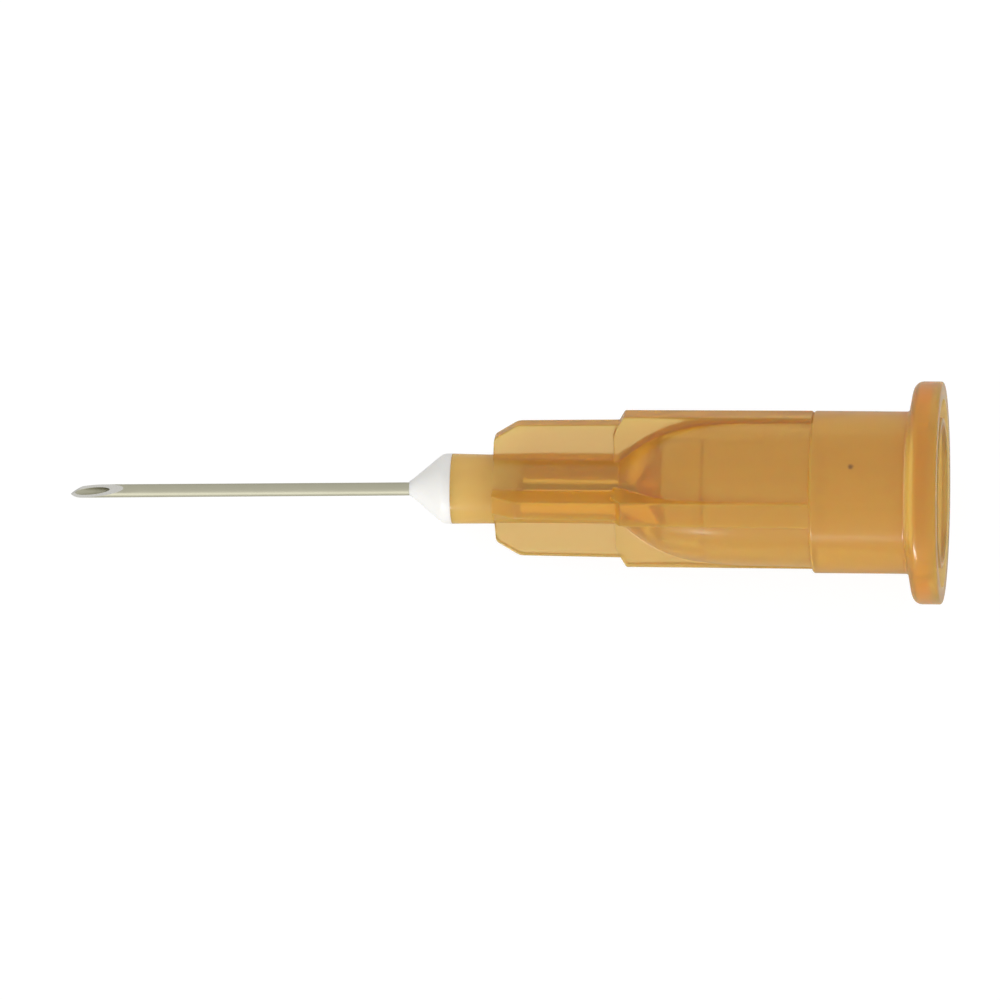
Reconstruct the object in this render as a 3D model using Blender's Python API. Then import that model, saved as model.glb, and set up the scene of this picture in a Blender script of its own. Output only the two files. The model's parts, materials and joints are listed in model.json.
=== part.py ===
"""Hypodermic needle for injections: a moulded plastic hub with a Luer socket, a flange and four stepped
fins, a steel cannula with a lancet point, and the adhesive that holds the cannula in the hub's nose.

The needle lies on a level surface, on the flange's rim, one fin and the point, with the point towards -X.
Each piece is turned or cut in its own straight frame. There a station is a distance towards the point,
so that it runs along -X, and a radius is a distance from the needle's axis. All sizes are in metres.
"""

from math import acos, atan, atan2, ceil, cos, hypot, pi, radians, sin, tan

import bmesh
import bpy
from mathutils import Matrix, Vector
from mathutils.geometry import interpolate_bezier

# Hub: the socket for a syringe's 6 % Luer cone, its bottom and the way on to the cannula
MOUTH_RADIUS = 0.00215
LUER_TAPER = 0.06
SOCKET_DEPTH = 0.00840
LEAD_IN = 0.00033
SHOULDER = 0.00020
THROAT_LENGTH = 0.00125
THROAT_ROUND = 0.00030
FUNNEL_LENGTH = 0.00070

# Hub: collar and flange, with a cored ring groove in the rear face
SOCKET_WALL = 0.00068
COLLAR_LENGTH = 0.00356
FLANGE_OVERHANG = 0.00107
RIM_WIDTH = 0.00074
RIM_ROUND = 0.00009
FLANGE_SLOPE = 0.00018
FLANGE_FILLET = 0.00022
LIP_WALL = 0.00014
RIM_WALL = 0.00060
GROOVE_DEPTH = 0.00035
GROOVE_DRAFT = 0.00005

# Hub: body under the collar, ogive over the socket's bottom, neck and nose
COLLAR_STEP = 0.000135
COLLAR_ROUND = 0.00006
BODY_DRAFT = 0.000015
END_WALL = 0.00095
OGIVE_LENGTH = 0.00510
OGIVE_REAR_PULL = 0.00310
OGIVE_FRONT_PULL = 0.00170
OGIVE_FRONT_ANGLE = 39.0
NECK_RADIUS = 0.00121
NECK_LENGTH = 0.00591
NOSE_FLARE = 0.00002
NOSE_FLARE_LENGTH = 0.00120
NOSE_ROUND = 0.00004

# Hub: four fins, each in two stages
FIN_COUNT = 4
FIN_UNDER_COLLAR = 0.00004
REAR_FIN_THICKNESS = 0.00090
REAR_FIN_DRAFT = 0.000015
STAGE_DROP = 0.000330
STAGE_SLOPE = 0.00019
FRONT_FIN_THICKNESS = 0.00068
FRONT_FIN_DRAFT = 0.00005
FRONT_FIN_LENGTH = 0.00440
FIN_THINNING = 0.00002
CHAMFER_LENGTH = 0.00084
CHAMFER_DROP = 0.00052
FIN_ROUND = 0.00015

# Adhesive: a plug in the nose's well and a cone in front of the nose
WELL_WALL = 0.00036
WELL_DEPTH = 0.00250
WELL_ROUND = 0.00030
BEAD_LENGTH = 0.00150
BEAD_ANGLE = 40.0
BEAD_SHOULDER = 0.00055
BEAD_TAIL = 0.00024
BEAD_LIP = 0.00003
BOND_GAP = 0.00001

# Cannula: 26 gauge tube, ground to a point with a long bevel and two lancet bevels
CANNULA_RADIUS = 0.00023
LUMEN_RADIUS = 0.00013
BORE_CLEARANCE = 0.00003
EXPOSED_LENGTH = 0.01344
BEVEL_ANGLE = 14.3
LANCET_ANGLE = 20.0
LANCET_TURN = 40.0
LANCET_LEAD = 0.00005
BEVEL_CLOCK = 42.0

# How it lies: no part of a fin reaches lower than this above the surface
FIN_REST_GAP = 0.00001

# Fineness of the turned shapes and of arcs in an outline
HUB_SEGMENTS = 48
BEAD_SEGMENTS = 32
CANNULA_SEGMENTS = 24
ARC_STEP = radians(30.0)
OGIVE_STEPS = 9
BEAD_CURVE_STEPS = 4
SHARP_ANGLE = radians(35.0)
WELD = 1e-8

# Places along the hub, from its rear face towards the point
flange_front = RIM_WIDTH + FLANGE_SLOPE
collar_front = flange_front + COLLAR_LENGTH
throat_start = SOCKET_DEPTH
throat_end = throat_start + THROAT_LENGTH
cannula_seat = throat_end + FUNNEL_LENGTH
neck_start = cannula_seat + END_WALL
ogive_start = neck_start - OGIVE_LENGTH
nose = neck_start + NECK_LENGTH
well_bottom = nose - WELL_DEPTH
tip = nose + EXPOSED_LENGTH

# Radii that follow from the walls and fits
collar_radius = MOUTH_RADIUS + SOCKET_WALL
flange_radius = collar_radius + FLANGE_OVERHANG
body_radius = collar_radius - COLLAR_STEP
luer_end_radius = MOUTH_RADIUS - LUER_TAPER / 2 * SOCKET_DEPTH
throat_radius = luer_end_radius - SHOULDER
bore_radius = CANNULA_RADIUS + BORE_CLEARANCE
nose_radius = NECK_RADIUS + NOSE_FLARE
well_radius = nose_radius - WELL_WALL
rear_fin_radius = collar_radius - FIN_UNDER_COLLAR
front_fin_radius = rear_fin_radius - REAR_FIN_DRAFT - STAGE_DROP

# Cutters run on past the face that they open
OVERSHOOT = 0.0005


def rounded(corners):
    """The outline through (station, radius, round) corners, each turned with an arc of its round."""
    outline = []
    for number, (station, radius, round_off) in enumerate(corners):
        corner = Vector((station, radius))
        if not round_off:
            outline.append(corner)
            continue
        back = (Vector(corners[number - 1][:2]) - corner).normalized()
        ahead = (Vector(corners[number + 1][:2]) - corner).normalized()
        turn = pi - back.angle(ahead)
        side = 1 if back.cross(ahead) < 0 else -1
        centre = corner + (back + ahead).normalized() * round_off / cos(turn / 2)
        spoke = corner + back * round_off * tan(turn / 2) - centre
        steps = max(2, ceil(turn / ARC_STEP))
        for step in range(steps + 1):
            outline.append(centre + Matrix.Rotation(side * turn * step / steps, 2) @ spoke)
    return outline


def curve(start, start_pull, end_pull, end, steps):
    """Points of one Bezier curve between two (station, radius) places, ends included."""
    knots = [Vector((*place, 0)) for place in (start, start_pull, end_pull, end)]
    return [point.to_2d() for point in interpolate_bezier(*knots, steps + 1)]


def add_object(name, shape, material=None):
    """Close a bmesh into an object, with its faces pointing out and its round faces smooth."""
    bmesh.ops.remove_doubles(shape, verts=shape.verts, dist=WELD)
    bmesh.ops.recalc_face_normals(shape, faces=shape.faces)
    mesh = bpy.data.meshes.new(name)
    shape.to_mesh(mesh)
    shape.free()
    mesh.shade_smooth()
    mesh.set_sharp_from_angle(angle=SHARP_ANGLE)
    if material:
        mesh.materials.append(material)
    thing = bpy.data.objects.new(name, mesh)
    bpy.context.scene.collection.objects.link(thing)
    return thing


def turned(name, outline, segments, material=None, ring=False, first_clock=0.0):
    """Turn a (station, radius) outline about the needle's axis. A ring's outline is closed."""
    shape = bmesh.new()
    first_edge = Matrix.Rotation(first_clock, 3, "X")
    verts = [shape.verts.new(first_edge @ Vector((-station, 0, radius))) for station, radius in outline]
    ends = verts[1:] + verts[:1] if ring else verts[1:]
    edges = [shape.edges.new(pair) for pair in zip(verts, ends)]
    bmesh.ops.spin(shape, geom=verts + edges, cent=(0, 0, 0), axis=(1, 0, 0), angle=2 * pi,
                   steps=segments)
    return add_object(name, shape, material)


def as_tool(thing, family):
    """Keep an object as a shape that a Boolean reads, in the collection of its family."""
    bpy.context.scene.collection.objects.unlink(thing)
    if family.name not in bpy.context.scene.collection.children:
        bpy.context.scene.collection.children.link(family)
    family.objects.link(thing)
    thing.hide_render = True
    thing.display_type = "WIRE"
    return thing


def combine(thing, operation, family):
    """Add or cut away every shape of a family."""
    step = thing.modifiers.new(operation.lower(), "BOOLEAN")
    step.operation = operation
    step.operand_type = "COLLECTION"
    step.collection = family
    step.solver = "EXACT"


def principled(name, colour, roughness, metallic=0.0, transmission=0.0):
    """A plain material of one colour."""
    material = bpy.data.materials.new(name)
    material.use_nodes = True
    material.diffuse_color = (*colour, 1.0)
    surface = material.node_tree.nodes["Principled BSDF"]
    surface.inputs["Base Color"].default_value = (*colour, 1.0)
    surface.inputs["Roughness"].default_value = roughness
    surface.inputs["Metallic"].default_value = metallic
    surface.inputs["Transmission Weight"].default_value = transmission
    return material


def hub_outline():
    """The hub's turned outside, from the middle of the rear face to the middle of the nose."""
    rear = rounded([
        (0, 0, 0),
        (0, flange_radius, RIM_ROUND),
        (RIM_WIDTH, flange_radius, RIM_ROUND),
        (flange_front, collar_radius, FLANGE_FILLET),
        (collar_front, collar_radius, COLLAR_ROUND),
        (collar_front + COLLAR_STEP / 2, body_radius, 0),
    ])
    pull = radians(OGIVE_FRONT_ANGLE)
    ogive = curve(
        (ogive_start, body_radius - BODY_DRAFT),
        (ogive_start + OGIVE_REAR_PULL, body_radius - 2 * BODY_DRAFT),
        (neck_start - OGIVE_FRONT_PULL * cos(pull), NECK_RADIUS + OGIVE_FRONT_PULL * sin(pull)),
        (neck_start, NECK_RADIUS),
        OGIVE_STEPS)
    front = rounded([
        (neck_start, NECK_RADIUS, 0),
        (nose - NOSE_FLARE_LENGTH, NECK_RADIUS, 0),
        (nose, nose_radius, NOSE_ROUND),
        (nose, 0, 0),
    ])
    return rear + ogive[:-1] + front


def hub_passage_outline():
    """The hub's inside: lead-in, Luer taper, throat, funnel, the cannula's bore and the adhesive's well."""
    open_radius = MOUTH_RADIUS + LEAD_IN + OVERSHOOT
    taper_start_radius = MOUTH_RADIUS - LUER_TAPER / 2 * LEAD_IN
    return rounded([
        (-OVERSHOOT, 0, 0),
        (-OVERSHOOT, open_radius, 0),
        (LEAD_IN, taper_start_radius, 0),
        (throat_start, luer_end_radius, 0),
        (throat_start + SHOULDER / 2, throat_radius, 0),
        (throat_end, throat_radius, THROAT_ROUND),
        (cannula_seat, bore_radius, 0),
        (well_bottom, bore_radius, 0),
        (well_bottom, well_radius, WELL_ROUND),
        (nose + OVERSHOOT, well_radius, 0),
        (nose + OVERSHOOT, 0, 0),
    ])


def rear_groove_outline():
    """The ring groove that cores the flange's rear face, between the mouth's lip and the rim."""
    inner = MOUTH_RADIUS + LEAD_IN + LIP_WALL
    outer = flange_radius - RIM_WALL
    return [
        Vector((-OVERSHOOT, inner)),
        Vector((-OVERSHOOT, outer)),
        Vector((0, outer)),
        Vector((GROOVE_DEPTH, outer - GROOVE_DRAFT)),
        Vector((GROOVE_DEPTH, inner + GROOVE_DRAFT)),
        Vector((0, inner)),
    ]


def rear_fin_outline():
    """A fin's rear stage from the collar to its sloped step, from the axis outwards."""
    step_radius = rear_fin_radius - REAR_FIN_DRAFT
    step_start = neck_start - STAGE_SLOPE
    foot_radius = front_fin_radius - STAGE_DROP
    foot = step_start + (step_radius - foot_radius) * STAGE_SLOPE / STAGE_DROP
    return rounded([
        (collar_front - COLLAR_ROUND - OVERSHOOT, 0, 0),
        (collar_front - COLLAR_ROUND - OVERSHOOT, rear_fin_radius, 0),
        (step_start, step_radius, FIN_ROUND / 2),
        (foot, foot_radius, 0),
        (foot, 0, 0),
    ])


def front_fin_outline():
    """A fin's front stage from inside the rear one to its chamfered front end."""
    end = neck_start + FRONT_FIN_LENGTH
    end_radius = front_fin_radius - FRONT_FIN_DRAFT
    return rounded([
        (ogive_start, 0, 0),
        (ogive_start, front_fin_radius - OVERSHOOT, 0),
        (neck_start - STAGE_SLOPE, front_fin_radius, 0),
        (end - CHAMFER_LENGTH, end_radius, 2 * FIN_ROUND),
        (end, end_radius - CHAMFER_DROP, FIN_ROUND),
        (end, 0, 0),
    ])


def fin_plate(name, outline, thickness, clock):
    """A plate of this side outline, a little thinner towards the front, turned about the axis."""
    shape = bmesh.new()
    first = outline[0][0]
    length = max(station for station, radius in outline) - first
    sides = []
    for side in (-1, 1):
        corners = []
        for station, radius in outline:
            half = thickness / 2 - FIN_THINNING * (station - first) / length
            corners.append(shape.verts.new((-station, side * half, radius)))
        sides.append(corners)
        shape.faces.new(corners)
    left, right = sides
    for number in range(len(outline)):
        shape.faces.new((left[number - 1], left[number], right[number], right[number - 1]))
    bmesh.ops.rotate(shape, verts=shape.verts, cent=(0, 0, 0), matrix=Matrix.Rotation(clock, 3, "X"))
    return add_object(name, shape)


def make_hub():
    """The moulding: turned outside, fins added, passage and groove cut.

    The turned faces are clocked so that one face of the rim, not an edge, lies on the surface.
    """
    amber = principled("amber_plastic", (0.56, 0.27, 0.055), 0.28, transmission=0.55)
    first_clock = pi / HUB_SEGMENTS - lying_roll()
    hub = turned("hub", hub_outline(), HUB_SEGMENTS, amber, first_clock=first_clock)
    fins = bpy.data.collections.new("fins")
    for number in range(FIN_COUNT):
        clock = 2 * pi * number / FIN_COUNT
        as_tool(fin_plate(f"rear_fin_{number}", rear_fin_outline(), REAR_FIN_THICKNESS, clock), fins)
        as_tool(fin_plate(f"front_fin_{number}", front_fin_outline(), FRONT_FIN_THICKNESS, clock), fins)
    combine(hub, "UNION", fins)
    cores = bpy.data.collections.new("mould_cores")
    passage = turned("passage_core", hub_passage_outline(), HUB_SEGMENTS, first_clock=first_clock)
    groove = turned("groove_core", rear_groove_outline(), HUB_SEGMENTS, ring=True, first_clock=first_clock)
    as_tool(passage, cores)
    as_tool(groove, cores)
    combine(hub, "DIFFERENCE", cores)
    return hub


def bead_outline():
    """The adhesive's closed section, in stations from the nose: cone, hole for the cannula and plug."""
    hole = CANNULA_RADIUS + BOND_GAP
    slope = tan(radians(BEAD_ANGLE))
    cone_length = (nose_radius - hole - BEAD_LIP) / slope
    cone_start = BEAD_LENGTH - BEAD_LIP - cone_length
    shoulder = curve(
        (BOND_GAP, nose_radius),
        (cone_start, nose_radius),
        (cone_start, nose_radius),
        (BEAD_SHOULDER, nose_radius - (BEAD_SHOULDER - cone_start) * slope),
        BEAD_CURVE_STEPS)
    tail_radius = hole + BEAD_LIP + BEAD_TAIL * slope
    tail = curve(
        (BEAD_LENGTH - BEAD_LIP - BEAD_TAIL, tail_radius),
        (BEAD_LENGTH - BEAD_LIP - BEAD_TAIL / 2, tail_radius - BEAD_TAIL / 2 * slope),
        (BEAD_LENGTH - BEAD_LIP, hole + BEAD_LIP * 1.5),
        (BEAD_LENGTH, hole + BEAD_LIP),
        BEAD_CURVE_STEPS)
    plug_radius = well_radius - BOND_GAP
    plug = rounded([
        (BEAD_LENGTH, hole, 0),
        (BOND_GAP - WELL_DEPTH, hole, 0),
        (BOND_GAP - WELL_DEPTH, plug_radius, WELL_ROUND - BOND_GAP),
        (BOND_GAP, plug_radius, 0),
    ])
    return shoulder + tail + plug


def make_bead():
    """The adhesive, with its origin on the axis at the nose."""
    white = principled("white_adhesive", (0.86, 0.85, 0.80), 0.45)
    bead = turned("adhesive_bead", bead_outline(), BEAD_SEGMENTS, white, ring=True)
    bead.location.x = -nose
    return bead


def grinding_block(name, wheels, reach, angle, turn, lead):
    """A block whose underside is one ground plane, through the point or a lead in front of it."""
    shape = bmesh.new()
    bmesh.ops.create_cube(shape, size=1.0)
    size = 6 * CANNULA_RADIUS / sin(radians(BEVEL_ANGLE))
    bmesh.ops.scale(shape, verts=shape.verts, vec=(size, size, size))
    bmesh.ops.translate(shape, verts=shape.verts, vec=(0, 0, size / 2))
    point = Matrix.Translation((-reach - lead, 0, -CANNULA_RADIUS))
    clock = Matrix.Rotation(turn, 4, "X")
    slant = Matrix.Rotation(-radians(angle), 4, "Y")
    bmesh.ops.transform(shape, verts=shape.verts, matrix=point @ clock @ slant)
    return as_tool(add_object(name, shape), wheels)


def make_cannula():
    """The tube from its seat under the socket to the point, with its origin on the axis at the seat."""
    steel = principled("needle_steel", (0.52, 0.51, 0.46), 0.32, metallic=1.0)
    length = tip - cannula_seat
    section = [
        Vector((0, LUMEN_RADIUS)),
        Vector((0, CANNULA_RADIUS)),
        Vector((length + OVERSHOOT, CANNULA_RADIUS)),
        Vector((length + OVERSHOOT, LUMEN_RADIUS)),
    ]
    cannula = turned("cannula", section, CANNULA_SEGMENTS, steel, ring=True)
    grinding = bpy.data.collections.new("grinding_blocks")
    grinding_block("bevel_block", grinding, length, BEVEL_ANGLE, 0.0, LANCET_LEAD)
    for side, name in ((-1, "left_lancet_block"), (1, "right_lancet_block")):
        turn = side * radians(LANCET_TURN)
        grinding_block(name, grinding, length, LANCET_ANGLE, turn, 0.0)
    combine(cannula, "DIFFERENCE", grinding)
    cannula.location.x = -cannula_seat
    cannula.rotation_euler.x = -radians(BEVEL_CLOCK)
    for block in grinding.objects:
        block.parent = cannula
    return cannula


def lying_tilt():
    """The axis's slope when the rim's front edge and the point both touch the surface."""
    return atan((flange_radius - CANNULA_RADIUS) / (tip - RIM_WIDTH + RIM_ROUND))


def lying_roll():
    """The turn about the axis at which the first fin's edge meets the surface."""
    slope = tan(lying_tilt())
    rolls = []
    for outline, thickness in ((rear_fin_outline(), REAR_FIN_THICKNESS),
                               (front_fin_outline(), FRONT_FIN_THICKNESS)):
        for station, radius in outline:
            height = CANNULA_RADIUS + (tip - station) * slope - FIN_REST_GAP
            reach = hypot(radius, thickness / 2)
            if station > collar_front and reach > height:
                rolls.append(acos(height / reach) + atan2(thickness / 2, radius))
    return max(rolls)


def lay_down(pieces):
    """Put every piece on one carrier, tilt and roll it, and set it down over the world's origin."""
    carrier = bpy.data.objects.new("needle", None)
    bpy.context.scene.collection.objects.link(carrier)
    for thing in bpy.data.objects:
        if thing.type == "MESH" and not thing.parent:
            thing.parent = carrier
    carrier.rotation_euler = (lying_roll(), -lying_tilt(), 0)
    bpy.context.view_layer.update()
    shapes = bpy.context.evaluated_depsgraph_get()
    corners = []
    for piece in pieces:
        solid = piece.evaluated_get(shapes)
        corners += [solid.matrix_world @ vert.co for vert in solid.data.vertices]
    low = [min(corner[axis] for corner in corners) for axis in range(3)]
    high = [max(corner[axis] for corner in corners) for axis in range(3)]
    carrier.location = (-(low[0] + high[0]) / 2, -(low[1] + high[1]) / 2, -low[2])
    bpy.context.view_layer.update()


for old in list(bpy.data.objects):
    bpy.data.objects.remove(old)
lay_down([make_hub(), make_bead(), make_cannula()])
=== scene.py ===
import json
from bisect import bisect_right
from math import asin, atan2, ceil, cos, pi, radians, sin, sqrt, tan

import bmesh
import bpy
from mathutils import Matrix, Vector
from mathutils.geometry import interpolate_bezier


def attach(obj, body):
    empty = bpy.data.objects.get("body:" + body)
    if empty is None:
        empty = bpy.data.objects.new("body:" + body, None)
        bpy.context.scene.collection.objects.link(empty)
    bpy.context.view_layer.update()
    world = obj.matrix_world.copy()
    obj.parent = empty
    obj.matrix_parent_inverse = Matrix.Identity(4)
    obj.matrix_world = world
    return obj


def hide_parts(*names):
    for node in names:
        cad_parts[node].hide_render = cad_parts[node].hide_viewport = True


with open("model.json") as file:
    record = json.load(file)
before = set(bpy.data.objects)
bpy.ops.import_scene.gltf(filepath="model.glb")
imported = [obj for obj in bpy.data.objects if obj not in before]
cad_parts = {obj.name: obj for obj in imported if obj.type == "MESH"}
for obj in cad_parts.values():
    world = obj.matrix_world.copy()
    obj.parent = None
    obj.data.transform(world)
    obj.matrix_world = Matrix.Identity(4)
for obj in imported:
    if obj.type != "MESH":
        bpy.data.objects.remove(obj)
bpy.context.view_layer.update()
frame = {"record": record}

# How the needle lies: on the flange's rim, one fin and the point. The rear face's mount gives the axis.
# Every piece is made on a straight needle along X, with the rear face at 0 and the point towards -X.
# A station is a distance from the rear face towards the point. All sizes are in metres.
REST_ROLL = 34.79
RIM_RING_RADIUS = 0.003555

rear_mount = frame["record"]["mounts"][0]
axis = Vector(rear_mount["axis"])
rise = Vector((-axis.z, 0, axis.x))
rear_centre = Vector(rear_mount["pos_m"]) - rise * RIM_RING_RADIUS
lie = (Matrix.Translation(rear_centre) @ Matrix.Rotation(-atan2(axis.z, axis.x), 4, "Y")
       @ Matrix.Rotation(radians(REST_ROLL), 4, "X"))

# Hub: one moulding of see-through amber polypropylene, with a Luer socket, a flange that is cored behind, a
# collar, and four fins in two stages. The cannula is glued into its nose. The mould's front and rear parts
# are a little out of line, so the body and the fins stand to one side of the collar.
MOUTH_RADIUS = 0.00215
LUER_TAPER = 0.06
SOCKET_DEPTH = 0.00824
LEAD_IN = 0.00033
SHOULDER = 0.00020
THROAT_END = 0.00965
THROAT_ROUND = 0.00030
CANNULA_SEAT = 0.01035
FLANGE_RADIUS = 0.00390
RIM_WIDTH = 0.00096
RIM_ROUND = 0.00009
RIM_FRONT_ROUND = 0.00034
FLANGE_FRONT = 0.00116
FLANGE_FILLET = 0.00013
GROOVE_INNER = 0.00262
GROOVE_OUTER = 0.00330
GROOVE_DEPTH = 0.00035
GROOVE_DRAFT = 0.00005
GROOVE_ROUND = 0.00005
COLLAR_RADIUS = 0.00284
COLLAR_FRONT = 0.00448
COLLAR_ROUND = 0.00009
COLLAR_FOOT_STATIONS = [0.0050, 0.0056]
BODY_RADIUS = 0.002695
BODY_DRAFT = 0.000015
OGIVE_START = 0.00620
OGIVE_REAR_PULL = 0.00310
OGIVE_FRONT_PULL = 0.00170
OGIVE_FRONT_ANGLE = 39.0
OGIVE_STEPS = 30
NECK_START = 0.01130
NECK_RADIUS = 0.00121
NECK_FIRST_STATIONS = [0.01136, 0.01141, 0.01145, 0.01148]
BODY_SHIFT_REAR = 0.000070
BODY_SHIFT_FRONT = 0.000050
NOSE = 0.01721
NOSE_RADIUS = 0.00123
NOSE_FLARE_LENGTH = 0.00120
NOSE_ROUND = 0.00004
REAR_FIN_RADIUS = 0.00280
REAR_FIN_DRAFT = 0.000015
REAR_FIN_HALF = 0.00045
STEP_START = 0.01111
STEP_ROUND = 0.000075
STEP_FOOT_RADIUS = 0.002115
STEP_SLOPE = 0.576
STEP_LEAN_START = 0.01060
STEP_LEAN_RISE = 1.5
STEP_TOP_GAP = 0.00004
STEP_RING_GAP = 0.00001
FRONT_FIN_RADIUS = 0.002470
FRONT_FIN_DRAFT = 0.00005
FRONT_FIN_HALF = 0.00034
FRONT_STATIONS = ((0.01158, 0.01145), (0.01172, 0.01165), (0.01200, 0.01200), (0.01260, 0.01260),
                  (0.01340, 0.01340))
FIN_THINNING = 0.00002
FIN_END = 0.01570
FIN_END_GAP = 0.00003
CHAMFER_LENGTH = 0.00084
CHAMFER_DROP = 0.00052
CHAMFER_REAR_ROUND = 0.00045
CHAMFER_FRONT_ROUND = 0.000225
CREST_ROUND = 0.000065
ROOT_ROUND = 0.00008
BORE_RADIUS = 0.00026
WELL_RADIUS = 0.00087
WELL_BOTTOM = 0.01471
WELL_ROUND = 0.00030
ARC_STEP = radians(18)
SHARP_EDGE = radians(38)


def rounded(corners):
    """The outline through (station, radius, round) corners, each turned with an arc of its round."""
    outline = []
    for number, (station, radius, round_off) in enumerate(corners):
        corner = Vector((station, radius))
        if not round_off:
            outline.append(corner)
            continue
        back = (Vector(corners[number - 1][:2]) - corner).normalized()
        ahead = (Vector(corners[number + 1][:2]) - corner).normalized()
        turn = pi - back.angle(ahead)
        side = 1 if back.cross(ahead) < 0 else -1
        centre = corner + (back + ahead).normalized() * round_off / cos(turn / 2)
        spoke = corner + back * round_off * tan(turn / 2) - centre
        steps = max(2, ceil(turn / ARC_STEP))
        for step in range(steps + 1):
            outline.append(centre + Matrix.Rotation(side * turn * step / steps, 2) @ spoke)
    return outline


def curve(start, start_pull, end_pull, end, steps):
    """Points of one Bezier curve between two (station, radius) places, ends included."""
    knots = [Vector((*place, 0)) for place in (start, start_pull, end_pull, end)]
    return [point.to_2d() for point in interpolate_bezier(*knots, steps + 1)]


def radius_at(outline, station):
    """The radius of an outline at a station."""
    ahead = min(max(bisect_right([point.x for point in outline], station), 1), len(outline) - 1)
    start, end = outline[ahead - 1], outline[ahead]
    share = (station - start.x) / max(end.x - start.x, 1e-9)
    return start.y + (end.y - start.y) * min(max(share, 0), 1)


def quarter_turns(half_quarter):
    """A whole ring of places from the (up, sideways, station) places of half of one fin's quarter."""
    left = [(up, -out, station) for up, out, station in reversed(half_quarter[1:])]
    quarter = left + half_quarter[:-1]
    ring = []
    for number in range(4):
        clock = Matrix.Rotation(-pi / 2 * number, 3, "X")
        ring += [clock @ Vector((-station, out, up)) for up, out, station in quarter]
    return ring


BODY_SHIFT_SIDE = Vector((0, 0.94, -0.34))
CREST_SHARES = (0, 0.34, 0.67, 1)
CORNER_TURNS = (pi / 6, pi / 3, pi / 2)
FLANK_SHARES = (0.265, 0.427, 0.7)
ROOT_SHARES = (0, 0.33, 0.67, 1)
SHELL_STEPS = 7


def finned_ring(station, body, fin, half, crest_station=None):
    """A ring of the hub where it has fins. The crest may stand behind the rest, as at the step."""
    crest_station = crest_station or station
    places = [(fin, (half - CREST_ROUND) * share) for share in CREST_SHARES]
    places += [(fin - CREST_ROUND * (1 - sin(pi / 2 - turn)), half - CREST_ROUND * (1 - sin(turn)))
               for turn in CORNER_TURNS]
    root = Vector((sqrt((body + ROOT_ROUND) ** 2 - (half + ROOT_ROUND) ** 2), half + ROOT_ROUND))
    places += [(fin - CREST_ROUND + (root.x - fin + CREST_ROUND) * share, half) for share in FLANK_SHARES]
    meeting = atan2(root.y, root.x)
    for share in ROOT_SHARES:
        turn = -pi / 2 + (meeting - pi / 2) * share
        places.append((root.x + ROOT_ROUND * cos(turn), root.y + ROOT_ROUND * sin(turn)))
    for step in range(1, SHELL_STEPS + 1):
        turn = meeting + (pi / 4 - meeting) * step / SHELL_STEPS
        places.append((body * cos(turn), body * sin(turn)))
    half_quarter = []
    for up, out in places:
        share = min(max((fin - up) / (fin - STEP_FOOT_RADIUS), 0), 1)
        half_quarter.append((up, out, crest_station + (station - crest_station) * share))
    share = (station - COLLAR_FRONT) / (FIN_END - COLLAR_FRONT)
    shift = BODY_SHIFT_SIDE * (BODY_SHIFT_REAR + (BODY_SHIFT_FRONT - BODY_SHIFT_REAR) * share)
    return [place + shift for place in quarter_turns(half_quarter)]


neck_half = FRONT_FIN_HALF - FIN_THINNING
crest_turn = asin((neck_half - CREST_ROUND) / NECK_RADIUS)
root_turn = asin((neck_half + ROOT_ROUND) / (NECK_RADIUS + ROOT_ROUND))
between = len(CORNER_TURNS) + len(FLANK_SHARES) + len(ROOT_SHARES)
clocks = [crest_turn * share for share in CREST_SHARES]
clocks += [crest_turn + (root_turn - crest_turn) * step / between for step in range(1, between + 1)]
clocks += [root_turn + (pi / 4 - root_turn) * step / SHELL_STEPS for step in range(1, SHELL_STEPS + 1)]


def round_ring(station, radius):
    """A ring of the hub where it is round."""
    return quarter_turns([(radius * cos(clock), radius * sin(clock), station) for clock in clocks])


rear_outside = rounded([
    (0, GROOVE_OUTER, 0),
    (0, FLANGE_RADIUS, RIM_ROUND),
    (RIM_WIDTH, FLANGE_RADIUS, RIM_FRONT_ROUND),
    (FLANGE_FRONT, COLLAR_RADIUS, FLANGE_FILLET),
    (COLLAR_FRONT, COLLAR_RADIUS, COLLAR_ROUND),
    (COLLAR_FRONT + (COLLAR_RADIUS - BODY_RADIUS) / 2, BODY_RADIUS, 0),
])
pull = radians(OGIVE_FRONT_ANGLE)
ogive = curve(
    (OGIVE_START, BODY_RADIUS - BODY_DRAFT),
    (OGIVE_START + OGIVE_REAR_PULL, BODY_RADIUS - 2 * BODY_DRAFT),
    (NECK_START - OGIVE_FRONT_PULL * cos(pull), NECK_RADIUS + OGIVE_FRONT_PULL * sin(pull)),
    (NECK_START, NECK_RADIUS),
    OGIVE_STEPS)
body_outside = rear_outside[-1:] + ogive + [Vector((NOSE, NECK_RADIUS))]
nose_outside = rounded([
    (FIN_END, NECK_RADIUS, 0),
    (NOSE - NOSE_FLARE_LENGTH, NECK_RADIUS, 0),
    (NOSE, NOSE_RADIUS, NOSE_ROUND),
    (NOSE, WELL_RADIUS, 0),
])
socket_end = MOUTH_RADIUS - LUER_TAPER / 2 * SOCKET_DEPTH
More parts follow.
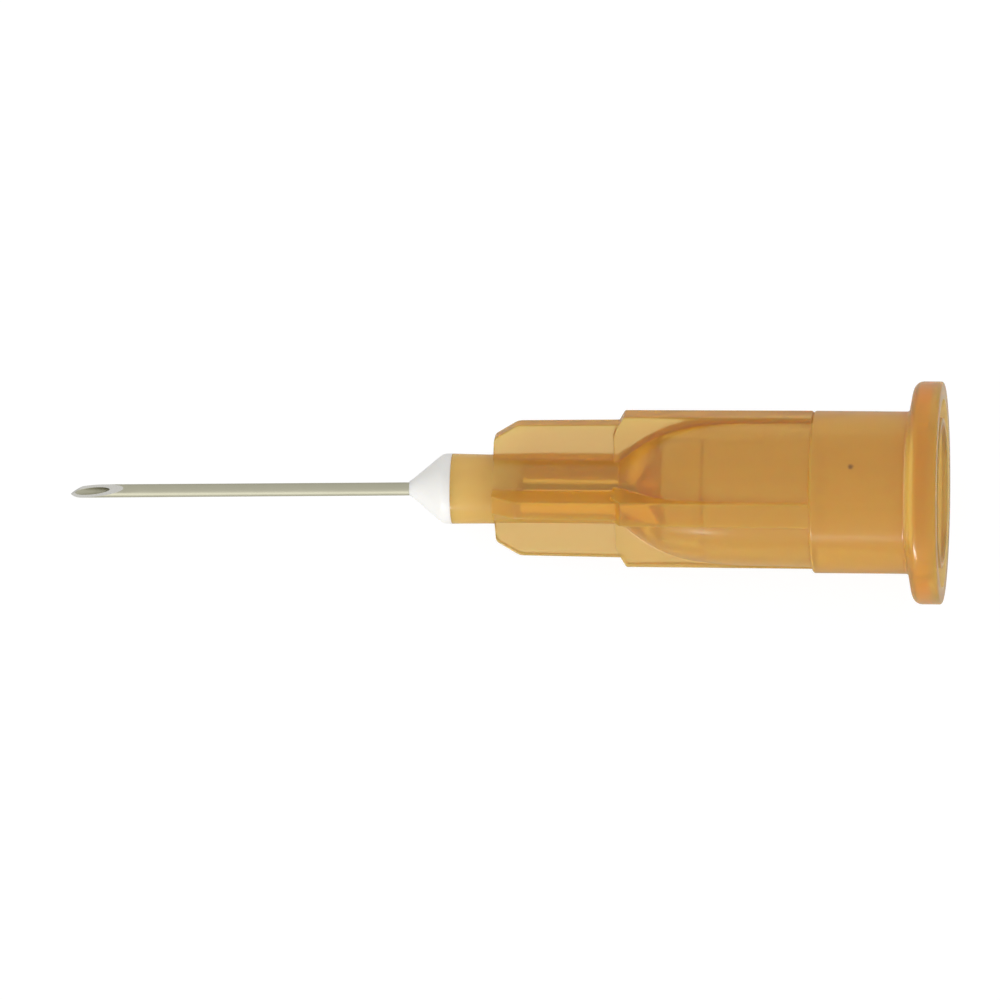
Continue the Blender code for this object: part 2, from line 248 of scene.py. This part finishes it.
passage = rounded([
    (NOSE, WELL_RADIUS, 0),
    (WELL_BOTTOM, WELL_RADIUS, WELL_ROUND),
    (WELL_BOTTOM, BORE_RADIUS, 0),
    (CANNULA_SEAT, BORE_RADIUS, 0),
    (THROAT_END, socket_end - SHOULDER, THROAT_ROUND),
    (SOCKET_DEPTH + SHOULDER / 2, socket_end - SHOULDER, 0),
    (SOCKET_DEPTH, socket_end, 0),
    (LEAD_IN, MOUTH_RADIUS - LUER_TAPER / 2 * LEAD_IN, 0),
    (0, MOUTH_RADIUS + LEAD_IN, GROOVE_ROUND),
    (0, GROOVE_INNER, GROOVE_ROUND),
    (GROOVE_DEPTH, GROOVE_INNER + GROOVE_DRAFT, GROOVE_ROUND),
    (GROOVE_DEPTH, GROOVE_OUTER - GROOVE_DRAFT, 0),
])[1:]
step_top = REAR_FIN_RADIUS - REAR_FIN_DRAFT
rear_crest = rounded([
    (COLLAR_FRONT, REAR_FIN_RADIUS, 0),
    (STEP_START, step_top, STEP_ROUND),
    (STEP_START + (step_top - STEP_FOOT_RADIUS) * STEP_SLOPE, STEP_FOOT_RADIUS, 0),
])
step_foot = rear_crest[-1].x
front_crest = rounded([
    (STEP_START, FRONT_FIN_RADIUS, 0),
    (FIN_END - CHAMFER_LENGTH, FRONT_FIN_RADIUS - FRONT_FIN_DRAFT, CHAMFER_REAR_ROUND),
    (FIN_END, FRONT_FIN_RADIUS - FRONT_FIN_DRAFT - CHAMFER_DROP, CHAMFER_FRONT_ROUND),
    (FIN_END, NECK_RADIUS, 0),
])[:-1]


def front_half(station):
    """Half the thickness of a front fin at a station."""
    return FRONT_FIN_HALF - FIN_THINNING * (station - OGIVE_START) / (FIN_END - OGIVE_START)


rings = [round_ring(*place) for place in rear_outside[:-1]]
body_stations = [rear_outside[-1].x] + COLLAR_FOOT_STATIONS + [place.x for place in ogive]
for station in body_stations + NECK_FIRST_STATIONS:
    share = min(max((station - STEP_LEAN_START) / (step_foot - STEP_LEAN_START), 0), 1)
    crest_station = station - (step_foot - STEP_START - STEP_TOP_GAP) * share ** STEP_LEAN_RISE
    half = REAR_FIN_HALF - FIN_THINNING * (station - COLLAR_FRONT) / (step_foot - COLLAR_FRONT)
    rings.append(finned_ring(station, radius_at(body_outside, station), radius_at(rear_crest, crest_station),
                             half, crest_station))
slope_top = rear_crest[-2]
rings.append(finned_ring(step_foot - STEP_RING_GAP, NECK_RADIUS, slope_top.y, REAR_FIN_HALF - FIN_THINNING,
                         slope_top.x))
step_meeting = STEP_START + (step_top - FRONT_FIN_RADIUS) * STEP_SLOPE
for station, crest_station in ((step_foot + STEP_RING_GAP, step_meeting), *FRONT_STATIONS):
    rings.append(finned_ring(station, NECK_RADIUS, radius_at(front_crest, crest_station), front_half(station),
                             crest_station))
for place in front_crest[1:]:
    rings.append(finned_ring(min(place.x, FIN_END), NECK_RADIUS, place.y, front_half(place.x)))
rings.append(round_ring(FIN_END + FIN_END_GAP, NECK_RADIUS))
rings += [round_ring(*place) for place in nose_outside[1:] + passage]


def joined(rings):
    """One closed smooth skin over closed rings."""
    shape = bmesh.new()
    rows = [[shape.verts.new(place) for place in ring] for ring in rings]
    for row, after in zip(rows, rows[1:] + rows[:1]):
        for number in range(len(row)):
            face = shape.faces.new((row[number - 1], row[number], after[number], after[number - 1]))
            face.smooth = True
    bmesh.ops.recalc_face_normals(shape, faces=shape.faces)
    return shape


def placed(name, shape, place=Matrix()):
    """The scene's object of a shape, moved to its place."""
    mesh = bpy.data.meshes.new(name)
    shape.to_mesh(mesh)
    shape.free()
    mesh.transform(place)
    piece = bpy.data.objects.new(name, mesh)
    bpy.context.scene.collection.objects.link(piece)
    return piece


def evenly_shaded(piece):
    """Shade a moulded piece smoothly but for its real edges."""
    piece.data.set_sharp_from_angle(angle=SHARP_EDGE)
    weighted = piece.modifiers.new("even shading", "WEIGHTED_NORMAL")
    weighted.keep_sharp = True


class Flow:
    """A socket on its way through a material. Arithmetic on it adds Math nodes."""

    def __init__(self, tree, socket=None):
        self.tree = tree
        self.socket = socket

    def node(self, kind, settings, sockets, out=0):
        """Add a node of this kind, with its settings first and then its sockets' values and links."""
        made = self.tree.nodes.new("ShaderNode" + kind)
        for name, value in settings.items():
            setattr(made, name, value)
        for name, value in sockets.items():
            if isinstance(value, Flow):
                self.tree.links.new(value.socket, made.inputs[name])
            else:
                made.inputs[name].default_value = value
        return Flow(self.tree, made.outputs[out] if made.outputs else None)

    def maths(self, operation, *terms):
        """Add a Math node on these terms."""
        return self.node("Math", {"operation": operation}, dict(enumerate(terms)))

    def __add__(self, other):
        return self.maths("ADD", self, other)

    def __radd__(self, other):
        return self.maths("ADD", other, self)

    def __sub__(self, other):
        return self.maths("SUBTRACT", self, other)

    def __rsub__(self, other):
        return self.maths("SUBTRACT", other, self)

    def __mul__(self, other):
        return self.maths("MULTIPLY", self, other)

    def __rmul__(self, other):
        return self.maths("MULTIPLY", other, self)

    def __truediv__(self, other):
        return self.maths("DIVIDE", self, other)

    def __rtruediv__(self, other):
        return self.maths("DIVIDE", other, self)

    def __gt__(self, other):
        return self.maths("GREATER_THAN", self, other)

    def __lt__(self, other):
        return self.maths("LESS_THAN", self, other)


def material(name):
    """A new material, and the start of its nodes."""
    made = bpy.data.materials.new(name)
    made.use_nodes = True
    made.node_tree.nodes.clear()
    return made, Flow(made.node_tree)


def straight_places(start):
    """Places on the straight needle, in metres, for the finish to follow its axis."""
    straighten = lie.inverted()
    return start.node("Mapping", {}, {"Vector": start.node("TexCoord", {}, {}, "Object"),
                                      "Location": straighten.translation,
                                      "Rotation": straighten.to_euler()})


def noise(place, blobs, detail=2):
    """Soft noise from 0 to 1 over places in metres, with so many blobs a millimetre."""
    return place.node("TexNoise", {}, {"Vector": place, "Scale": 1000 * blobs, "Detail": detail}, "Fac")


def blend(share, first, second):
    """A colour between two others, each one a link or three numbers."""
    first, second = [colour if isinstance(colour, Flow) else (*colour, 1) for colour in (first, second)]
    return share.node("Mix", {"data_type": "RGBA"}, {0: share, 6: first, 7: second}, 2)


AMBER_TINT = (0.83, 0.79, 0.61)
AMBER_TINT_CLOUDY = (0.79, 0.75, 0.57)
AMBER_HAZE = (0.83, 0.48, 0.07)
AMBER_HAZE_CLOUDY = (0.87, 0.52, 0.09)
HAZE = 0.36
WETTED_RADIUS = 0.00105
AMBER_DENSITY = 1000
AMBER_ABSORBS = (1.0, 0.80, 0.05)
CLOUD_BLOBS = 0.35
GRAIN_BLOBS = 14
GRAIN_HEIGHT = 0.00001
SPECK_PLACE = (-0.00306, 0.001742, 0.002215)
SPECK_RADIUS = 0.00013
SPECK_BLOBS = 9
SPECK_RAGGED = 0.8
SPECK_COLOUR = (0.12, 0.06, 0.02)

amber, start = material("amber polypropylene")
place = straight_places(start)
cloud = noise(place, CLOUD_BLOBS, 3)
grain = noise(place, GRAIN_BLOBS)
speck_distance = place.node("VectorMath", {"operation": "DISTANCE"}, {0: place, 1: SPECK_PLACE}, "Value")
ragged = speck_distance / SPECK_RADIUS + (noise(place, SPECK_BLOBS) - 0.5) * SPECK_RAGGED
speck = place.node("MapRange", {"interpolation_type": "SMOOTHSTEP"},
                   {"Value": ragged, "From Min": 0.15, "From Max": 1.10, "To Min": 0.85, "To Max": 0.0})
bump = place.node("Bump", {}, {"Strength": 0.12, "Distance": GRAIN_HEIGHT, "Height": grain + cloud * 2})
moulded = place.node("BsdfPrincipled", {}, {
    "Base Color": blend(cloud, AMBER_TINT, AMBER_TINT_CLOUDY),
    "Roughness": 0.12 + cloud * 0.08,
    "IOR": 1.49,
    "Transmission Weight": 1.0,
    "Normal": bump,
})
milky = place.node("BsdfPrincipled", {}, {
    "Base Color": blend(cloud, AMBER_HAZE, AMBER_HAZE_CLOUDY),
    "Roughness": 0.40 + cloud * 0.10,
    "Subsurface Weight": 1.0,
    "Subsurface Radius": (1.0, 0.6, 0.25),
    "Subsurface Scale": 0.0012,
    "Specular IOR Level": 0.6,
    "Normal": bump,
})
off_axis = place.node("VectorMath", {"operation": "MULTIPLY"}, {0: place, 1: (0, 1, 1)})
radius = place.node("VectorMath", {"operation": "LENGTH"}, {0: off_axis}, "Value")
hazed = place.node("MixShader", {}, {0: (radius > WETTED_RADIUS) * HAZE, 1: moulded, 2: milky})
dirt = place.node("BsdfPrincipled", {}, {"Base Color": (*SPECK_COLOUR, 1), "Roughness": 0.6})
surface = place.node("MixShader", {}, {0: speck, 1: hazed, 2: dirt})
depth = place.node("VolumeAbsorption", {}, {"Color": (*AMBER_ABSORBS, 1), "Density": AMBER_DENSITY})
place.node("OutputMaterial", {}, {"Surface": surface, "Volume": depth})

hub = placed("hub_moulding", joined(rings), lie)
evenly_shaded(hub)
hub.data.materials.append(amber)
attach(hub, "root")
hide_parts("hub")

# Cannula: drawn stainless tube, 26 gauge, pushed into the hub's bore up to the funnel. Its point is ground
# with one long bevel and two short lancet bevels, which leave flat bright faces round the lumen's mouth. The
# picture shows it one degree out of line with the hub, so in front of the nose it leans sideways.
TUBE_RADIUS = 0.00023
LUMEN_RADIUS = 0.00013
TIP = 0.03065
BEVEL_ANGLE = 11.5
BEVEL_LEAD = 0.00037
LANCET_ANGLE = 30.0
LANCET_TURN = 30.0
BEVEL_CLOCK = 44.0
TUBE_LEAN = 0.0162
TUBE_SEGMENTS = 96
EDGE_BREAK = 0.000012
GROUND_LENGTH = 0.0025
TIP_SPARE = 0.0005
STEEL_DARK = (0.49, 0.475, 0.355)
STEEL_LIGHT = (0.60, 0.585, 0.465)
GROUND_DARK = (0.66, 0.65, 0.60)
GROUND_LIGHT = (0.78, 0.77, 0.73)
DRAW_LINES = 60
DRAW_STRETCH = (0.03, 1, 1)
DRAW_DEPTH = 0.000002
STEEL_PATCHES = 1.2
SCRATCHES = 90
SCRATCH_STRETCH = (1, 0.08, 0.08)
SCRATCH_DEPTH = 0.000001


def circle(station, radius, points):
    """Places round the needle's axis at a station."""
    return [Vector((-station, radius * sin(2 * pi * number / points), radius * cos(2 * pi * number / points)))
            for number in range(points)]


tube_outline = [
    (CANNULA_SEAT, TUBE_RADIUS - EDGE_BREAK),
    (CANNULA_SEAT + EDGE_BREAK, TUBE_RADIUS),
    (NOSE, TUBE_RADIUS),
    (TIP - GROUND_LENGTH, TUBE_RADIUS),
    (TIP + TIP_SPARE, TUBE_RADIUS),
    (TIP + TIP_SPARE, LUMEN_RADIUS),
    (TIP - GROUND_LENGTH, LUMEN_RADIUS),
    (CANNULA_SEAT, LUMEN_RADIUS),
]
tube = joined([circle(station, radius, TUBE_SEGMENTS) for station, radius in tube_outline])
for angle, turn, lead in ((BEVEL_ANGLE, 0, BEVEL_LEAD), (LANCET_ANGLE, LANCET_TURN, 0),
                          (LANCET_ANGLE, -LANCET_TURN, 0)):
    facing = (Matrix.Rotation(radians(turn), 3, "X") @ Matrix.Rotation(-radians(angle), 3, "Y")
              @ Vector((0, 0, 1)))
    cut = bmesh.ops.bisect_plane(tube, geom=tube.verts[:] + tube.edges[:] + tube.faces[:], dist=1e-9,
                                 plane_co=(-TIP - lead, 0, -TUBE_RADIUS), plane_no=facing,
                                 clear_outer=True)
    rim = [edge for edge in cut["geom_cut"] if isinstance(edge, bmesh.types.BMEdge)]
    ground = bmesh.ops.triangle_fill(tube, use_beauty=True, edges=rim, normal=facing)
    for face in ground["geom"]:
        if isinstance(face, bmesh.types.BMFace):
            face.smooth = False
            face.material_index = 1
bmesh.ops.rotate(tube, verts=tube.verts, cent=(0, 0, 0),
                 matrix=Matrix.Rotation(-radians(BEVEL_CLOCK), 3, "X"))
cannula = placed("cannula_tube", tube, lie)
nose_place = rear_centre.x - NOSE * axis.x
for vert in cannula.data.vertices:
    vert.co.y -= max(nose_place - vert.co.x, 0) * TUBE_LEAN
cannula.data.set_sharp_from_angle(angle=SHARP_EDGE)

steel, start = material("drawn steel")
place = straight_places(start)
stretched = place.node("Mapping", {}, {"Vector": place, "Scale": DRAW_STRETCH})
lines = noise(stretched, DRAW_LINES, 3)
patches = noise(place, STEEL_PATCHES)
bump = place.node("Bump", {}, {"Strength": 0.25, "Distance": DRAW_DEPTH, "Height": lines})
surface = place.node("BsdfPrincipled", {}, {
    "Base Color": blend(lines * 0.6 + patches * 0.4, STEEL_DARK, STEEL_LIGHT),
    "Metallic": 1.0,
    "Roughness": 0.50 + lines * 0.12,
    "Normal": bump,
})
place.node("OutputMaterial", {}, {"Surface": surface})

ground_steel, start = material("ground steel")
place = straight_places(start)
stretched = place.node("Mapping", {}, {"Vector": place, "Scale": SCRATCH_STRETCH})
scratches = noise(stretched, SCRATCHES)
bump = place.node("Bump", {}, {"Strength": 0.2, "Distance": SCRATCH_DEPTH, "Height": scratches})
surface = place.node("BsdfPrincipled", {}, {
    "Base Color": blend(scratches, GROUND_DARK, GROUND_LIGHT),
    "Metallic": 1.0,
    "Roughness": 0.22 + scratches * 0.12,
    "Normal": bump,
})
place.node("OutputMaterial", {}, {"Surface": surface})

cannula.data.materials.append(steel)
cannula.data.materials.append(ground_steel)
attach(cannula, "root")
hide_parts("cannula")

# Adhesive: white epoxy that fills the well in the hub's nose and stands in front of it as a cone round the
# cannula. It was laid on wet, so its shoulder is soft and its front edge feathers out on the steel. In the
# well it has painted light: its colour is painted gold, more so towards the well's bottom, and it has a
# painted glow, an emission strongest at the well's front, that stands in for light entering at the cone.
BEAD_LENGTH = 0.00150
BEAD_ANGLE = 40.0
BEAD_SHOULDER = 0.00055
BEAD_TAIL = 0.00024
BEAD_LIP = 0.00003
BEAD_BOND = 0.00001
BEAD_SEGMENTS = 96
BEAD_CURVE_STEPS = 10
EPOXY_WHITE = (0.93, 0.93, 0.91)
EPOXY_MOTTLED = (0.89, 0.87, 0.82)
MOTTLE_BLOBS = 0.9
RIPPLE_BLOBS = 4
RIPPLE_HEIGHT = 0.00001
# Painted light in the well: the colour of the painted glow and of the painted gold.
PAINTED_WELL_GLOW = (0.27, 0.165, 0.055)
PAINTED_WELL_GOLD = (0.90, 0.66, 0.36)

slope = tan(radians(BEAD_ANGLE))
hole = TUBE_RADIUS - BEAD_BOND / 2
cone_length = (NOSE_RADIUS - hole - BEAD_LIP) / slope
cone_start = BEAD_LENGTH - BEAD_LIP - cone_length
tail_radius = hole + BEAD_LIP + BEAD_TAIL * slope
bead_outline = curve(
    (0, NOSE_RADIUS),
    (cone_start, NOSE_RADIUS),
    (cone_start, NOSE_RADIUS),
    (BEAD_SHOULDER, NOSE_RADIUS - (BEAD_SHOULDER - cone_start) * slope),
    BEAD_CURVE_STEPS)
bead_outline += curve(
    (BEAD_LENGTH - BEAD_LIP - BEAD_TAIL, tail_radius),
    (BEAD_LENGTH - BEAD_LIP - BEAD_TAIL / 2, tail_radius - BEAD_TAIL / 2 * slope),
    (BEAD_LENGTH - BEAD_LIP, hole + BEAD_LIP * 1.5),
    (BEAD_LENGTH, hole + BEAD_LIP),
    BEAD_CURVE_STEPS)
bead_outline += rounded([
    (BEAD_LENGTH, hole, 0),
    (WELL_BOTTOM - NOSE - BEAD_BOND, hole, 0),
    (WELL_BOTTOM - NOSE - BEAD_BOND, WELL_RADIUS + BEAD_BOND, WELL_ROUND + BEAD_BOND),
    (0, WELL_RADIUS + BEAD_BOND, 0),
])
bead = placed("adhesive_cone", joined([circle(NOSE + ahead, radius, BEAD_SEGMENTS)
                                       for ahead, radius in bead_outline]), lie)
evenly_shaded(bead)

epoxy, start = material("white epoxy")
place = straight_places(start)
mottle = noise(place, MOTTLE_BLOBS, 3)
ripple = noise(place, RIPPLE_BLOBS)
bump = place.node("Bump", {}, {"Strength": 0.3, "Distance": RIPPLE_HEIGHT, "Height": ripple + mottle * 2})
along = place.node("SeparateXYZ", {}, {"Vector": place}, "X")
# Painted light mask: 1 at the well's front and in the cone, 0 at the well's bottom. It sets the painted glow
# in the well and, where it is low, the painted gold.
painted_well_light = place.node("MapRange", {"interpolation_type": "SMOOTHSTEP"},
                       {"Value": along, "From Min": -NOSE, "From Max": -WELL_BOTTOM,
                        "To Min": 1.0, "To Max": 0.0})
surface = place.node("BsdfPrincipled", {}, {
    "Emission Color": blend((along > -NOSE) * painted_well_light, (0, 0, 0), PAINTED_WELL_GLOW),
    "Emission Strength": 1.0,
    "Base Color": blend(1 - painted_well_light, blend(mottle, EPOXY_WHITE, EPOXY_MOTTLED), PAINTED_WELL_GOLD),
    "Roughness": 0.36 + ripple * 0.12,
    "Subsurface Weight": 0.25,
    "Subsurface Radius": (1.0, 0.9, 0.7),
    "Subsurface Scale": 0.0003,
    "Normal": bump,
})
place.node("OutputMaterial", {}, {"Surface": surface})
epoxy.cycles.emission_sampling = "NONE"
bead.data.materials.append(epoxy)
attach(bead, "root")
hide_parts("adhesive_bead")

# Table: a plain white surface. The camera sees it as white, also through the plastic, and the needle's soft
# shadow stays on it. The light that falls on the needle from it is that of a matt pale table.
TABLE_SIZE = 3.0
TABLE_COLOUR = (0.80, 0.80, 0.80)
TABLE_SEEN_WHITE = 0.85
TABLE_LIGHT = 1.10


def seen_rays(start):
    """1 where the camera looks, also through see-through plastic, and 0 for the light on the needle."""
    looks = start.node("LightPath", {}, {}, "Is Camera Ray")
    through = start.node("LightPath", {}, {}, "Is Transmission Ray")
    return looks.maths("MAXIMUM", looks, through)


table_shape = bmesh.new()
bmesh.ops.create_grid(table_shape, x_segments=1, y_segments=1, size=TABLE_SIZE / 2)
table = placed("table", table_shape)
white_top, start = material("white table")
seen = seen_rays(start)
matt = start.node("BsdfDiffuse", {}, {"Color": (*TABLE_COLOUR, 1)})
lit = start.node("Emission", {}, {"Color": (1, 1, 1, 1), "Strength": TABLE_LIGHT})
surface = start.node("MixShader", {}, {0: seen * TABLE_SEEN_WHITE, 1: matt, 2: lit})
start.node("OutputMaterial", {}, {"Surface": surface})
table.data.materials.append(white_top)

# Light: an even white room, and one softbox, low down on the side that the picture shows at its bottom. It
# leaves the small highlights along the lower edges of the flange, the collar and the body.
ROOM_LIGHT = 0.78
SOFTBOX_PLACE = (-0.16, -0.365, 0.032)
SOFTBOX_SIZE = (0.15, 0.055)
SOFTBOX_POWER = 0.6

world = bpy.data.worlds.new("white room")
bpy.context.scene.world = world
world.use_nodes = True
world.node_tree.nodes.clear()
start = Flow(world.node_tree)
strength = seen_rays(start) * (1 - ROOM_LIGHT) + ROOM_LIGHT
room = start.node("Background", {}, {"Color": (1, 1, 1, 1), "Strength": strength})
start.node("OutputWorld", {}, {"Surface": room})

softbox = bpy.data.lights.new("softbox", "AREA")
softbox.shape = "RECTANGLE"
softbox.size, softbox.size_y = SOFTBOX_SIZE
softbox.energy = SOFTBOX_POWER
lamp = bpy.data.objects.new("softbox", softbox)
bpy.context.scene.collection.objects.link(lamp)
lamp.location = SOFTBOX_PLACE
lamp.rotation_euler = (-Vector(SOFTBOX_PLACE)).to_track_quat("-Z", "Y").to_euler()

# Camera: above the needle, so that it looks as in the picture: point to the left, one fin towards the
# camera, and a little of the cored rear face. A pixel is 0.035 mm on the needle's axis.
CAMERA_DISTANCE = 0.90
CAMERA_ELEVATION = 75.07
CAMERA_TURN = 7.50
PIXEL = 0.000035
MIDDLE_STATION = 0.01532
MIDDLE_PIXEL = (506.2, 489.1)
AXIS_SLOPE = 0.0090
PICTURE_WIDTH = 1000
SENSOR_WIDTH = 36
NEAREST_SEEN = 0.01
FARTHEST_SEEN = 20

back = Matrix.Rotation(-radians(CAMERA_TURN), 3, "Z") @ Vector((0, -cos(radians(CAMERA_ELEVATION)),
                                                                 sin(radians(CAMERA_ELEVATION))))
along = (axis - back * axis.dot(back)).normalized()
across = back.cross(along)
right = (along + across * AXIS_SLOPE).normalized()
up = back.cross(right)
middle = rear_centre - axis * MIDDLE_STATION
centre = PICTURE_WIDTH / 2
target = middle - right * (MIDDLE_PIXEL[0] - centre) * PIXEL - up * (centre - MIDDLE_PIXEL[1]) * PIXEL
turned = Matrix((right, up, back)).transposed().to_4x4()
camera_data = bpy.data.cameras.new("camera")
camera_data.sensor_width = SENSOR_WIDTH
camera_data.lens = SENSOR_WIDTH * CAMERA_DISTANCE / (PICTURE_WIDTH * PIXEL)
camera_data.clip_start = NEAREST_SEEN
camera_data.clip_end = FARTHEST_SEEN
camera = bpy.data.objects.new("camera", camera_data)
bpy.context.scene.collection.objects.link(camera)
camera.matrix_world = Matrix.Translation(target + back * CAMERA_DISTANCE) @ turned
bpy.context.scene.camera = camera
bpy.context.scene.view_settings.view_transform = "Standard"

# Bring the scene up to date, so that every piece stands where it was placed.
bpy.context.view_layer.update()
